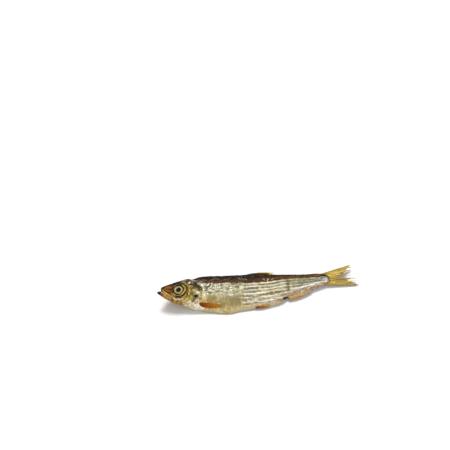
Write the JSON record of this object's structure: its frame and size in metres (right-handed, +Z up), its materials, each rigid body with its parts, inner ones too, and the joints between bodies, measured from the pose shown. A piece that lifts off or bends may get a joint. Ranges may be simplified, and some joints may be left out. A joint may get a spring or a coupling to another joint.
{
  "type": "dried sprat",
  "caption": "Small whole dried fish lying on its side, with folded skin, gill covers and a ragged forked tail.",
  "frame": {"origin": "centre of the plan box, on the surface that the fish lies on", "axes": "+X from the head to the tail, +Y towards the back, +Z up out of the left side, which is the one shown"},
  "size_m": [0.1058, 0.0246, 0.0098],
  "materials": {
    "dried_skin": "thin silvery-olive skin with a satin sheen, dark brown along the back, golden on the fins"
  },
  "bodies": {
    "root": {"sprat": "dried_skin"}
  },
  "joints": []
}
